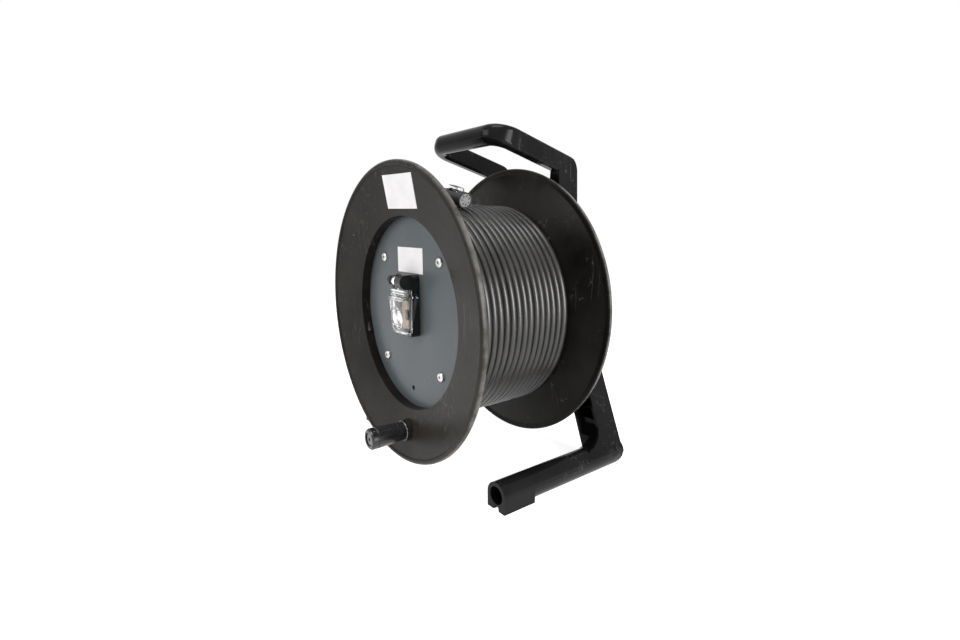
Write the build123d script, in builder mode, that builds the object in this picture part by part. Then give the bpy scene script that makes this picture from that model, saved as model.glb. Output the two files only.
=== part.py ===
from build123d import *
import math
import os

# Portable cable drum: two moulded flanges on a core, turning on a one-sided
# carrying frame with two hollow feet. Millimetres, +Z up, X across, -Y towards the user.
# The origin is on the floor, under the middle of the whole drum.

# Drum body
FLANGE_R = 190.0
FLANGE_PITCH = 189.3
RIM_BEAD_R = 4.0
RIM_BEVEL_SHARE = 0.35
RIM_SKIRT = 2.0
RIM_WEB_SET_BACK = 2.0
FLANGE_WALL = 3.6
FLANGE_DISH = 14.0
RECESS_R = 124.3
RECESS_WALL = 2.4
CORE_WALL = 3.6
SPIGOT_GAP = 0.2
SPIGOT_LENGTH = 24.0

# Connector plate in the front recess
PLATE_DEPTH = 12.6
PLATE_THICK = 3.0
PLATE_GAP = 0.3
LEDGE_OVERLAP = 2.0
LEDGE_THICK = 4.0
SCREW_INSET = 26.0
SCREW_BOSS_R = 9.0
SCREW_BOSS_DEPTH = 16.0
SCREW_HEAD_R = 6.15
SCREW_HEAD_H = 3.3
SCREW_ROUND_SHARE = 0.7
SCREW_SHANK_R = 3.0
SCREW_LENGTH = 14.0
SCREW_SOCKET_R = 2.0
SCREW_SOCKET_DEPTH = 2.0
DRAIN_HOLE_R = 3.4
DRAIN_HOLE_DROP = 101.0

# Back flange, hub and bearing
BACK_WEB_DEPTH = 14.0
BACK_WEB_THICK = 4.0
HUB_SLEEVE_R = 24.0
HUB_SLEEVE_LENGTH = 52.0
HUB_RIB_COUNT = 6
HUB_RIB_THICK = 3.0
AXLE_R = 15.0
AXLE_BORE_R = 10.0
BEARING_GAP = 0.06
AXLE_END_PLAY = 0.4
WASHER_R = 21.0
WASHER_THICK = 2.5
AXLE_BOLT_R = 4.0
AXLE_BOLT_HEAD_R = 6.5
AXLE_BOLT_HEAD_H = 5.0

# Wound cable
CABLE_D = 9.3
WINDING_GAP = 0.3
GROOVE_SHARE = 0.62
TURN_COUNT = 17

# Crank on the front flange
CRANK_WINDING_GAP = 3.7
CRANK_ANGLE = -84.5
CRANK_BOSS_R = 14.0
CRANK_BOSS_H = 4.5
CRANK_BORE_R = 5.0
CRANK_PIN_R = 4.94
CRANK_HEAD_R = 7.2
CRANK_HEAD_H = 3.0
CRANK_SOCKET_R = 2.5
CRANK_SOCKET_DEPTH = 1.8
GRIP_LENGTH = 50.0
GRIP_R = 13.6
GRIP_BASE_R = 11.6
GRIP_NECK_R = 12.6
GRIP_GROOVE_AT = 9.0
GRIP_GROOVE_HALF = 1.2
GRIP_BASE_BEVEL = 1.0
GRIP_END_BEVEL = 2.0
GRIP_END_GAP = 0.3
GRIP_CUP_R = 8.6
GRIP_CUP_DEPTH = 4.0
PIN_TOP_H = 2.5

# Carrying frame
FLANGE_CLEARANCE = 6.0
FRAME_FRONT = 113.0
FRAME_BACK = 148.0
FRAME_WALL = 4.0
ARM_THICK = 16.0
ARM_HEIGHT = 26.0
ARM_EDGE_R = 4.0
ARM_SLOPE = 15.3
ARM_BACK_R = 22.0
HANDLE_HALF_WIDTH = 78.7
HANDLE_BEND_R = 22.0
GRIP_BAR_D = 25.6
GRIP_BAR_FLAT = 0.1
GRIP_BAR_FORWARD = 17.0
GRIP_BAR_HEIGHT = 222.5
KNEE_HEIGHT = 40.0
KNEE_HALF_WIDTH = 85.3
KNEE_INNER = 50.0
LEG_SLOPE = 0.41
LEG_INNER_SLOPE = 0.385
RIB_COUNT = 6
RIB_THICK = 2.6
RIB_SET_BACK = 6.0
RIB_TILT = 20.0
HUB_BOSS_R = 38.0
CROSS_HALF_HEIGHT = 30.0
AXLE_FIT = 0.02
RIGHT_ANGLE = 90.0

# Feet
FOOT_SPREAD = 163.7
FOOT_CENTRE_HEIGHT = 18.0
FOOT_UPPER_R = 15.6
FOOT_LOWER_R = 14.8
FOOT_LOWER_DEPTH = 19.5
FOOT_BORE_R = 10.7
FOOT_BORE_DEPTH = 60.0
FOOT_FRONT = 60.0
LUG_LENGTH = 46.0
LUG_LOW_HALF = 15.2
FOOT_GROOVE_HALF = 4.6
FOOT_GROOVE_HEIGHT = 6.5
HEEL_R = 17.0
SWEEP_R = 26.0
SWEEP_CHANNEL_DEPTH = 8.0

# Drum height on its feet
AXIS_HEIGHT = 205.0

# Socket on the connector plate
SOCKET_WIDTH = 39.0
SOCKET_LOW = -28.0
SOCKET_HIGH = 52.0
SOCKET_DEPTH = 12.5
SOCKET_CENTRE_X = 1.8
SOCKET_CORNER_R = 6.0
MOUTH_WIDTH = 26.0
MOUTH_LOW = -20.0
MOUTH_HIGH = 18.0
MOUTH_DEPTH = 9.0
MOUTH_CORNER_R = 2.0
INSERT_GAP = 0.2
INSERT_THICK = 5.0
INSERT_HOLE_WIDTH = 12.0
INSERT_HOLE_HEIGHT = 14.0
HINGE_HEIGHT = 43.0
HINGE_STAND_OFF = 19.0
HINGE_BARREL_R = 6.0
HINGE_PIN_R = 1.6
HINGE_PIN_GAP = 0.05
PIN_FIT = 0.02
EAR_LEFT_WIDTH = 4.5
EAR_RIGHT_WIDTH = 15.0
EAR_RIGHT_R = 9.0
EAR_GAP = 0.4
EAR_ROOT = 1.0
COVER_WALL = 2.0
COVER_DEPTH = 12.0
COVER_GAP = 0.4
COVER_LOW = -24.0
COVER_SHOULDER = 24.0
COVER_CORNER_R = 7.0
COVER_NECK_DEPTH = 7.0

# Free plug lying on the winding
PLUG_R = 9.8
PLUG_BODY_R = 9.2
PLUG_LENGTH = 34.0
PLUG_COLLAR_LENGTH = 9.0
PLUG_TAIL_R = 6.4
PLUG_TAIL_LENGTH = 14.0
PLUG_TAIL_STEP = 1.0
PLUG_ALONG = -20.0
PLUG_ANGLE = 76.5
PLUG_SEAT_GAP = 0.3
PLUG_FACE_R = 8.2
PLUG_FACE_DEPTH = 3.0
PLUG_FACE_RECESS = 0.8
PLUG_HOLE_R = 1.5
PLUG_HOLE_CIRCLE_R = 5.4
PLUG_HOLE_COUNT = 7
PLUG_CAP_WIDTH = 12.0
PLUG_CAP_LENGTH = 20.0
PLUG_CAP_HEIGHT = 4.0
PLUG_CAP_WALL = 1.4
PLUG_CAP_CORNER_R = 3.0
PLUG_FIT = 0.05
TAIL_RADIUS_SHARE = 0.45
TAIL_FIRST_RUN = 31.0

# Derived sizes
RIM_FACE = FLANGE_PITCH / 2
RIM_INNER_R = FLANGE_R - 2 * RIM_BEAD_R
RIM_WEB_FACE = RIM_FACE + RIM_BEAD_R - RIM_WEB_SET_BACK
RECESS_FACE = RIM_WEB_FACE - FLANGE_DISH
PLATE_FACE = RECESS_FACE - PLATE_DEPTH
PLATE_BACK = PLATE_FACE - PLATE_THICK
LEDGE_WIDTH = SCREW_INSET - SCREW_BOSS_R + LEDGE_OVERLAP
SCREW_SQUARE = math.sqrt(2) * (RECESS_R - SCREW_INSET)
SPIGOT_R = RECESS_R + RECESS_WALL
CORE_IN_R = SPIGOT_R + SPIGOT_GAP
CORE_R = CORE_IN_R + CORE_WALL
CORE_HALF = RECESS_FACE - FLANGE_WALL
WINDING_R = CORE_R + WINDING_GAP
CRANK_RADIUS = WINDING_R + CABLE_D + CRANK_WINDING_GAP + CRANK_HEAD_R
CRANK_X = CRANK_RADIUS * math.cos(math.radians(CRANK_ANGLE))
CRANK_Z = CRANK_RADIUS * math.sin(math.radians(CRANK_ANGLE))
DISH_SLOPE = FLANGE_DISH / (RIM_INNER_R - RECESS_R)
CRANK_FACE = RECESS_FACE + DISH_SLOPE * (CRANK_RADIUS - RECESS_R) + CRANK_BOSS_H
CRANK_REACH = CRANK_FACE + GRIP_END_GAP + GRIP_LENGTH
MID_Y = (CRANK_REACH - FRAME_BACK) / 2
AXIS_LINE = Axis((0, MID_Y, AXIS_HEIGHT), (0, 1, 0))
BACK_WEB_FACE = RECESS_FACE - BACK_WEB_DEPTH
HUB_BOSS_FACE = RIM_FACE + RIM_BEAD_R + FLANGE_CLEARANCE
FOOT_LEVEL = FOOT_CENTRE_HEIGHT - AXIS_HEIGHT
FOOT_TOP = FOOT_LEVEL + FOOT_UPPER_R
SWEEP_LEVEL = FOOT_TOP + SWEEP_R
ARM_CENTRE_X = HANDLE_HALF_WIDTH - ARM_THICK / 2
ARM_DROP = math.tan(math.radians(ARM_SLOPE))
POST_TOP = GRIP_BAR_HEIGHT - (FRAME_BACK - GRIP_BAR_FORWARD) * ARM_DROP
TURN_PITCH = 2 * (CORE_HALF - WINDING_GAP) / TURN_COUNT
PLATE_R = RECESS_R - PLATE_GAP


def side_plane(x):
    """Drawing plane seen from +X: local x runs along the drum axis, local y is height over it."""
    return Plane(origin=(x, MID_Y, AXIS_HEIGHT), x_dir=(0, 1, 0), z_dir=(1, 0, 0))


def front_plane(y_from_mid):
    """Drawing plane seen from behind the drum: local x is -X, local y is height over the axis."""
    return Plane(origin=(0, MID_Y + y_from_mid, AXIS_HEIGHT), x_dir=(-1, 0, 0), z_dir=(0, 1, 0))


def face_plane(y_from_mid):
    """Drawing plane seen from the user's side: local x is +X, its normal points to the user."""
    return Plane(origin=(0, MID_Y + y_from_mid, AXIS_HEIGHT), x_dir=(1, 0, 0), z_dir=(0, -1, 0))


def flange_points(side):
    """Half section of a dished flange web, from the recess edge out to the rim."""
    return [
        (side * RECESS_FACE, RECESS_R),
        (side * RIM_WEB_FACE, RIM_INNER_R),
        (side * RIM_WEB_FACE, FLANGE_R - RIM_BEAD_R),
        (side * (RIM_WEB_FACE - FLANGE_WALL), FLANGE_R - RIM_BEAD_R),
        (side * (RIM_WEB_FACE - FLANGE_WALL), RIM_INNER_R),
        (side * CORE_HALF, CORE_R),
        (side * CORE_HALF, RECESS_R),
    ]


def rim_section(side):
    """Rolled rim: a rounded bead with a short skirt towards the winding."""
    outer = FLANGE_R
    inner = RIM_INNER_R
    crown = side * (RIM_FACE + RIM_BEAD_R)
    shoulder = side * RIM_FACE
    skirt = side * (RIM_FACE - RIM_SKIRT)
    bevel = RIM_BEAD_R * RIM_BEVEL_SHARE
    with BuildLine() as line:
        Polyline(
            (shoulder, inner),
            (crown - side * bevel, inner + bevel),
            (crown, inner + 2 * bevel),
            (crown, outer - 2 * bevel),
            (crown - side * bevel, outer - bevel / 2),
            (shoulder, outer),
            (skirt, outer),
            (skirt, FLANGE_R - RIM_BEAD_R),
            (side * (RIM_WEB_FACE - FLANGE_WALL), FLANGE_R - RIM_BEAD_R),
            (side * (RIM_WEB_FACE - FLANGE_WALL), inner),
            close=True,
        )
    return line


# Front flange with its recess, plate ledge, spigot and crank boss
with BuildPart() as front_flange:
    with BuildSketch(side_plane(0)):
        with BuildLine():
            Polyline(*flange_points(-1), close=True)
        make_face()
        with BuildLine():
            Polyline(
                (-RECESS_FACE, RECESS_R),
                (-RECESS_FACE, SPIGOT_R),
                (-(CORE_HALF - SPIGOT_LENGTH), SPIGOT_R),
                (-(CORE_HALF - SPIGOT_LENGTH), RECESS_R),
                (-(PLATE_BACK - LEDGE_THICK), RECESS_R),
                (-(PLATE_BACK - LEDGE_THICK), RECESS_R - LEDGE_WIDTH),
                (-PLATE_BACK, RECESS_R - LEDGE_WIDTH),
                (-PLATE_BACK, RECESS_R),
                close=True,
            )
        make_face()
        add(rim_section(-1))
        make_face()
    revolve(axis=AXIS_LINE)
    with BuildSketch(face_plane(-CRANK_FACE)):
        with Locations((CRANK_X, CRANK_Z)):
            Circle(CRANK_BOSS_R)
    extrude(amount=-(CRANK_BOSS_H + DISH_SLOPE * CRANK_BOSS_R))
    with BuildSketch(face_plane(-PLATE_BACK)):
        with GridLocations(SCREW_SQUARE, SCREW_SQUARE, 2, 2):
            Circle(SCREW_BOSS_R)
    extrude(amount=-SCREW_BOSS_DEPTH)
    with BuildSketch(face_plane(-PLATE_BACK)):
        with GridLocations(SCREW_SQUARE, SCREW_SQUARE, 2, 2):
            Circle(SCREW_SHANK_R)
    extrude(amount=-SCREW_BOSS_DEPTH, mode=Mode.SUBTRACT)
    with BuildSketch(face_plane(-CRANK_FACE)):
        with Locations((CRANK_X, CRANK_Z)):
            Circle(CRANK_BORE_R)
    extrude(amount=-3 * CRANK_BOSS_H - FLANGE_WALL, mode=Mode.SUBTRACT)
front_flange.part.label = "front_flange"

# Back flange with its recessed web, hub sleeve and stiffening ribs
with BuildPart() as back_flange:
    with BuildSketch(side_plane(0)):
        with BuildLine():
            Polyline(*flange_points(1), close=True)
        make_face()
        with BuildLine():
            Polyline(
                (RECESS_FACE, RECESS_R),
                (RECESS_FACE, SPIGOT_R),
                (CORE_HALF - SPIGOT_LENGTH, SPIGOT_R),
                (CORE_HALF - SPIGOT_LENGTH, RECESS_R),
                (BACK_WEB_FACE - BACK_WEB_THICK, RECESS_R),
                (BACK_WEB_FACE - BACK_WEB_THICK, HUB_SLEEVE_R),
                (BACK_WEB_FACE - HUB_SLEEVE_LENGTH, HUB_SLEEVE_R),
                (BACK_WEB_FACE - HUB_SLEEVE_LENGTH, AXLE_R + BEARING_GAP),
                (HUB_BOSS_FACE - AXLE_END_PLAY, AXLE_R + BEARING_GAP),
                (HUB_BOSS_FACE - AXLE_END_PLAY, HUB_SLEEVE_R),
                (BACK_WEB_FACE, HUB_SLEEVE_R),
                (BACK_WEB_FACE, RECESS_R),
                close=True,
            )
        make_face()
        add(rim_section(1))
        make_face()
    revolve(axis=AXIS_LINE)
    with BuildSketch(front_plane(BACK_WEB_FACE)):
        rib_length = RECESS_R - HUB_SLEEVE_R + HUB_RIB_THICK
        with PolarLocations(HUB_SLEEVE_R + rib_length / 2 - HUB_RIB_THICK / 2, HUB_RIB_COUNT):
            Rectangle(rib_length, HUB_RIB_THICK)
    extrude(amount=BACK_WEB_DEPTH - FLANGE_WALL)
back_flange.part.label = "back_flange"

# Core tube between the flanges
with BuildPart() as drum_core:
    with BuildSketch(side_plane(0)):
        with BuildLine():
            Polyline(
                (-CORE_HALF, CORE_IN_R),
                (-CORE_HALF, CORE_R),
                (CORE_HALF, CORE_R),
                (CORE_HALF, CORE_IN_R),
                close=True,
            )
        make_face()
    revolve(axis=AXIS_LINE)
drum_core.part.label = "drum_core"

# Round connector plate
with BuildPart() as connector_plate:
    with BuildSketch(face_plane(-PLATE_FACE)):
        Circle(PLATE_R)
        with GridLocations(SCREW_SQUARE, SCREW_SQUARE, 2, 2):
            Circle(SCREW_SHANK_R + PLATE_GAP, mode=Mode.SUBTRACT)
        with Locations((0, -DRAIN_HOLE_DROP)):
            Circle(DRAIN_HOLE_R, mode=Mode.SUBTRACT)
        with Locations((SOCKET_CENTRE_X, (MOUTH_LOW + MOUTH_HIGH) / 2)):
            Rectangle(MOUTH_WIDTH, MOUTH_HIGH - MOUTH_LOW, mode=Mode.SUBTRACT)
    extrude(amount=-PLATE_THICK)
connector_plate.part.label = "connector_plate"

# Four plate screws with hexagon sockets
plate_screws = []
half_square = SCREW_SQUARE / 2
screw_places = [
    (-half_square, half_square),
    (half_square, half_square),
    (-half_square, -half_square),
    (half_square, -half_square),
]
for number, (screw_x, screw_z) in enumerate(screw_places, start=1):
    with BuildPart() as plate_screw:
        with BuildSketch(face_plane(-PLATE_FACE)):
            with Locations((screw_x, screw_z)):
                Circle(SCREW_HEAD_R)
        extrude(amount=SCREW_HEAD_H)
        head_edge = plate_screw.edges().filter_by(GeomType.CIRCLE).sort_by(Axis.Y)[0]
        fillet(head_edge, SCREW_HEAD_H * SCREW_ROUND_SHARE)
        with BuildSketch(face_plane(-PLATE_FACE)):
            with Locations((screw_x, screw_z)):
                Circle(SCREW_SHANK_R)
        extrude(amount=-SCREW_LENGTH)
        with BuildSketch(face_plane(-PLATE_FACE - SCREW_HEAD_H)):
            with Locations((screw_x, screw_z)):
                RegularPolygon(SCREW_SOCKET_R, 6)
        extrude(amount=-SCREW_SOCKET_DEPTH, mode=Mode.SUBTRACT)
    plate_screw.part.label = f"plate_screw_{number}"
    plate_screws.append(plate_screw)

# Axle tube held in the frame's hub
with BuildPart() as axle:
    with BuildSketch(front_plane(FRAME_BACK - FRAME_WALL)):
        Circle(AXLE_R)
        Circle(AXLE_BORE_R, mode=Mode.SUBTRACT)
    axle_front = BACK_WEB_FACE - HUB_SLEEVE_LENGTH - AXLE_END_PLAY
    extrude(amount=-(FRAME_BACK - FRAME_WALL - axle_front))
    with BuildSketch(front_plane(axle_front)):
        Circle(AXLE_R)
    extrude(amount=2 * FRAME_WALL)
    with BuildSketch(front_plane(axle_front)):
        Circle(AXLE_BOLT_R)
    extrude(amount=2 * FRAME_WALL, mode=Mode.SUBTRACT)
axle.part.label = "axle"

# Washer and bolt that keep the drum on the axle
with BuildPart() as axle_washer:
    with BuildSketch(front_plane(axle_front)):
        Circle(WASHER_R)
        Circle(AXLE_BOLT_R, mode=Mode.SUBTRACT)
    extrude(amount=-WASHER_THICK)
axle_washer.part.label = "axle_washer"

with BuildPart() as axle_bolt:
    with BuildSketch(front_plane(axle_front - WASHER_THICK)):
        RegularPolygon(AXLE_BOLT_HEAD_R, 6)
    extrude(amount=-AXLE_BOLT_HEAD_H)
    with BuildSketch(front_plane(axle_front - WASHER_THICK)):
        Circle(AXLE_BOLT_R)
    extrude(amount=WASHER_THICK + 2 * FRAME_WALL)
axle_bolt.part.label = "axle_bolt"

# Wound cable: one layer of turns side by side, as one turned body
with BuildPart() as cable_winding:
    turn_edge = -(CORE_HALF - WINDING_GAP)
    crown_r = WINDING_R + CABLE_D
    groove_r = crown_r - CABLE_D / 2 * GROOVE_SHARE
    profile = [(turn_edge, WINDING_R), (turn_edge, groove_r)]
    for turn in range(TURN_COUNT):
        start = turn_edge + turn * TURN_PITCH
        profile.append((start + TURN_PITCH / 2, crown_r))
        profile.append((start + TURN_PITCH, groove_r))
    profile.append((-turn_edge, WINDING_R))
    with BuildSketch(side_plane(0)):
        with BuildLine():
            Polyline(*profile, close=True)
        make_face()
    revolve(axis=AXIS_LINE)
cable_winding.part.label = "cable_winding"

# Crank pin through the front flange's boss
with BuildPart() as crank_pin:
    with BuildSketch(face_plane(-(CRANK_FACE - CRANK_BOSS_H - FLANGE_WALL - DISH_SLOPE * CRANK_BOSS_R))):
        with Locations((CRANK_X, CRANK_Z)):
            Circle(CRANK_HEAD_R)
    extrude(amount=-CRANK_HEAD_H)
    with BuildSketch(face_plane(-(CRANK_FACE - CRANK_BOSS_H - FLANGE_WALL - DISH_SLOPE * CRANK_BOSS_R))):
        with Locations((CRANK_X, CRANK_Z)):
            Circle(CRANK_PIN_R)
    pin_reach = CRANK_BOSS_H + FLANGE_WALL + DISH_SLOPE * CRANK_BOSS_R + GRIP_LENGTH - GRIP_CUP_DEPTH
    extrude(amount=pin_reach + 2 * GRIP_END_GAP)
    with BuildSketch(face_plane(-(CRANK_FACE + GRIP_LENGTH - GRIP_CUP_DEPTH + 2 * GRIP_END_GAP))):
        with Locations((CRANK_X, CRANK_Z)):
            Circle(CRANK_HEAD_R)
    extrude(amount=PIN_TOP_H)
    with BuildSketch(face_plane(-(CRANK_FACE + GRIP_LENGTH - GRIP_CUP_DEPTH + 2 * GRIP_END_GAP + PIN_TOP_H))):
        with Locations((CRANK_X, CRANK_Z)):
            RegularPolygon(CRANK_SOCKET_R, 6)
    extrude(amount=-CRANK_SOCKET_DEPTH, mode=Mode.SUBTRACT)
crank_pin.part.label = "crank_pin"

# Turning grip of the crank
with BuildPart() as crank_grip:
    grip_plane = Plane(
        origin=(CRANK_X, MID_Y - CRANK_FACE - GRIP_END_GAP, AXIS_HEIGHT + CRANK_Z),
        x_dir=(0, -1, 0),
        z_dir=(1, 0, 0),
    )
    with BuildSketch(grip_plane):
        with BuildLine():
            groove_at = GRIP_LENGTH - GRIP_GROOVE_AT
            Polyline(
                (0, CRANK_BORE_R),
                (0, GRIP_BASE_R - GRIP_BASE_BEVEL),
                (GRIP_BASE_BEVEL, GRIP_BASE_R),
                (groove_at - GRIP_GROOVE_HALF, GRIP_R),
                (groove_at, GRIP_NECK_R),
                (groove_at + GRIP_GROOVE_HALF, GRIP_R),
                (GRIP_LENGTH - GRIP_END_BEVEL, GRIP_R),
                (GRIP_LENGTH, GRIP_R - GRIP_END_BEVEL),
                (GRIP_LENGTH, GRIP_CUP_R),
                (GRIP_LENGTH - GRIP_CUP_DEPTH, GRIP_CUP_R),
                (GRIP_LENGTH - GRIP_CUP_DEPTH, CRANK_BORE_R),
                close=True,
            )
        make_face()
    revolve(axis=Axis(grip_plane.origin, (0, 1, 0)))
crank_grip.part.label = "crank_grip"


# Carrying frame: one ribbed moulding with the handle, posts, hub, legs and hollow feet
def leg_outline(inset):
    """Outline of one post and leg as the user sees it, drawn in by the wall thickness."""
    foot_drop = KNEE_HEIGHT - FOOT_LEVEL
    outer_foot = KNEE_HALF_WIDTH + LEG_SLOPE * foot_drop
    inner_foot = KNEE_INNER + LEG_INNER_SLOPE * foot_drop
    return [
        (HANDLE_HALF_WIDTH - inset, POST_TOP),
        (KNEE_HALF_WIDTH - inset, KNEE_HEIGHT),
        (outer_foot - inset, FOOT_LEVEL),
        (inner_foot + inset, FOOT_LEVEL),
        (KNEE_INNER + inset, KNEE_HEIGHT),
        (HANDLE_HALF_WIDTH - ARM_THICK + inset, POST_TOP),
    ]


def cross_outline(inset):
    """Outline of half the cross member between the posts, drawn in by the wall thickness."""
    top = CROSS_HALF_HEIGHT - inset
    reach = KNEE_INNER + LEG_INNER_SLOPE * (KNEE_HEIGHT + CROSS_HALF_HEIGHT) + FRAME_WALL / 2
    return [
        (0, top),
        (KNEE_INNER + LEG_INNER_SLOPE * (KNEE_HEIGHT - CROSS_HALF_HEIGHT) + FRAME_WALL / 2, top),
        (reach, -top),
        (0, -top),
    ]


SLOPE = math.radians(ARM_SLOPE)
HANDLE_PLANE = Plane(
    origin=(0, MID_Y + GRIP_BAR_FORWARD, AXIS_HEIGHT + GRIP_BAR_HEIGHT),
    x_dir=(1, 0, 0),
    z_dir=(0, math.sin(SLOPE), math.cos(SLOPE)),
)
BEND_START = (ARM_CENTRE_X, HANDLE_BEND_R)
BEND_END = (ARM_CENTRE_X - HANDLE_BEND_R, 0)
ARM_FACE = Plane(
    origin=HANDLE_PLANE.from_local_coords((*BEND_START, 0)),
    x_dir=HANDLE_PLANE.x_dir,
    z_dir=-HANDLE_PLANE.y_dir,
)
GRIP_FACE = Plane(
    origin=HANDLE_PLANE.from_local_coords((*BEND_END, 0)),
    x_dir=-HANDLE_PLANE.y_dir,
    z_dir=-HANDLE_PLANE.x_dir,
)

# Space inside the open channel of a post and leg, down into the sweep over the foot
with BuildPart() as leg_channel:
    with BuildSketch(side_plane(0)):
        with Locations((FRAME_FRONT - SWEEP_R, SWEEP_LEVEL)):
            Rectangle(
                FRAME_BACK - FRAME_WALL - FRAME_FRONT + SWEEP_R,
                POST_TOP - ARM_HEIGHT - SWEEP_LEVEL,
                align=(Align.MIN, Align.MIN),
            )
            Circle(SWEEP_R + SWEEP_CHANNEL_DEPTH)
    extrude(amount=2 * FOOT_SPREAD)
    with BuildSketch(face_plane(FRAME_BACK)):
        with BuildLine():
            Polyline(*leg_outline(FRAME_WALL), close=True)
        make_face()
    extrude(amount=FRAME_BACK, mode=Mode.INTERSECT)

with BuildPart() as frame:
    # Post and leg, with the sweep into the foot
    with BuildSketch(face_plane(FRAME_BACK)):
        with BuildLine():
            Polyline(*leg_outline(0), close=True)
        make_face()
    extrude(amount=FRAME_BACK - FRAME_FRONT)
    with BuildSketch(face_plane(FRAME_FRONT)):
        with BuildLine():
            Polyline(*leg_outline(0), close=True)
        make_face()
        with Locations((FOOT_SPREAD - FOOT_UPPER_R, FOOT_LEVEL)):
            Rectangle(
                4 * SWEEP_R,
                2 * (SWEEP_LEVEL - FOOT_LEVEL),
                align=(Align.MIN, Align.CENTER),
                mode=Mode.INTERSECT,
            )
    extrude(amount=SWEEP_R)
    with BuildSketch(side_plane(0)):
        with Locations((FRAME_FRONT - SWEEP_R, SWEEP_LEVEL)):
            Circle(SWEEP_R)
    extrude(amount=2 * FOOT_SPREAD, mode=Mode.SUBTRACT)
    add(leg_channel, mode=Mode.SUBTRACT)
    # Ribs across the channel
    with BuildSketch(face_plane(FRAME_BACK - FRAME_WALL / 2)):
        for rib in range(RIB_COUNT):
            height = KNEE_HEIGHT + (SWEEP_LEVEL - KNEE_HEIGHT) * (rib + 0.5) / RIB_COUNT
            drop = KNEE_HEIGHT - height
            middle = (KNEE_HALF_WIDTH + KNEE_INNER + (LEG_SLOPE + LEG_INNER_SLOPE) * drop) / 2
            with Locations(Location((middle, height), RIB_TILT if rib % 2 else -RIB_TILT)):
                Rectangle(KNEE_HALF_WIDTH, RIB_THICK)
        with BuildLine():
            Polyline(*leg_outline(FRAME_WALL / 2), close=True)
        make_face(mode=Mode.INTERSECT)
        with BuildLine():
            knee_middle = (KNEE_HALF_WIDTH + KNEE_INNER) / 2
            Polyline(
                (knee_middle - RIB_THICK / 2, KNEE_HEIGHT),
                (knee_middle + RIB_THICK / 2, KNEE_HEIGHT),
                (ARM_CENTRE_X + RIB_THICK / 2, POST_TOP),
                (ARM_CENTRE_X - RIB_THICK / 2, POST_TOP),
                close=True,
            )
        make_face()
    extrude(amount=FRAME_BACK - FRAME_FRONT - RIB_SET_BACK)
    # Half the cross member
    with BuildSketch(face_plane(FRAME_BACK)):
        with BuildLine():
            Polyline(*cross_outline(0), close=True)
        make_face()
    extrude(amount=FRAME_BACK - FRAME_FRONT)
    with BuildSketch(face_plane(FRAME_BACK - FRAME_WALL)):
        with BuildLine():
            Polyline(*cross_outline(FRAME_WALL), close=True)
        make_face()
        with BuildLine():
            Polyline(*leg_outline(0), close=True)
        make_face(mode=Mode.SUBTRACT)
    extrude(amount=FRAME_BACK - FRAME_FRONT, mode=Mode.SUBTRACT)
    # Foot: hollow tube, deeper below its moulding edge, with a lug at its front end
    with BuildSketch(face_plane(FRAME_BACK)):
        with Locations((FOOT_SPREAD, FOOT_LEVEL)):
            Circle(FOOT_UPPER_R)
            Rectangle(2 * FOOT_UPPER_R, FOOT_UPPER_R, align=(Align.CENTER, Align.MAX), mode=Mode.SUBTRACT)
    with BuildSketch(face_plane(FRAME_BACK)):
        with Locations((FOOT_SPREAD, FOOT_LEVEL)):
            Ellipse(FOOT_LOWER_R, FOOT_LOWER_DEPTH)
            Rectangle(
                2 * FOOT_UPPER_R,
                FOOT_CENTRE_HEIGHT,
                align=(Align.CENTER, Align.MAX),
                mode=Mode.INTERSECT,
            )
    extrude(amount=FRAME_BACK + FOOT_FRONT)
    with BuildSketch(face_plane(-FOOT_FRONT)):
        with BuildLine():
            Polyline(
                (FOOT_SPREAD - FOOT_UPPER_R, FOOT_LEVEL),
                (FOOT_SPREAD + FOOT_UPPER_R, FOOT_LEVEL),
                (FOOT_SPREAD + LUG_LOW_HALF, -AXIS_HEIGHT),
                (FOOT_SPREAD - LUG_LOW_HALF, -AXIS_HEIGHT),
                close=True,
            )
        make_face()
    extrude(amount=-LUG_LENGTH)
    with BuildSketch(face_plane(-FOOT_FRONT)):
        with Locations((FOOT_SPREAD, -AXIS_HEIGHT + FOOT_GROOVE_HEIGHT - FOOT_GROOVE_HALF)):
            Circle(FOOT_GROOVE_HALF)
            Rectangle(2 * FOOT_GROOVE_HALF, FOOT_CENTRE_HEIGHT, align=(Align.CENTER, Align.MAX))
    extrude(amount=-LUG_LENGTH, mode=Mode.SUBTRACT)
    with BuildSketch(face_plane(-FOOT_FRONT)):
        with Locations((FOOT_SPREAD, FOOT_LEVEL)):
            Circle(FOOT_BORE_R)
    extrude(amount=-FOOT_BORE_DEPTH, mode=Mode.SUBTRACT)
    # Rounded heel
    with BuildSketch(side_plane(0)):
        with BuildLine():
            heel_start = (FRAME_BACK - HEEL_R, -AXIS_HEIGHT)
            heel_end = (FRAME_BACK, HEEL_R - AXIS_HEIGHT)
            Polyline(heel_end, (FRAME_BACK, -AXIS_HEIGHT), heel_start)
            RadiusArc(heel_start, heel_end, -HEEL_R)
        make_face()
    extrude(amount=2 * FOOT_SPREAD, mode=Mode.SUBTRACT)
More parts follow.
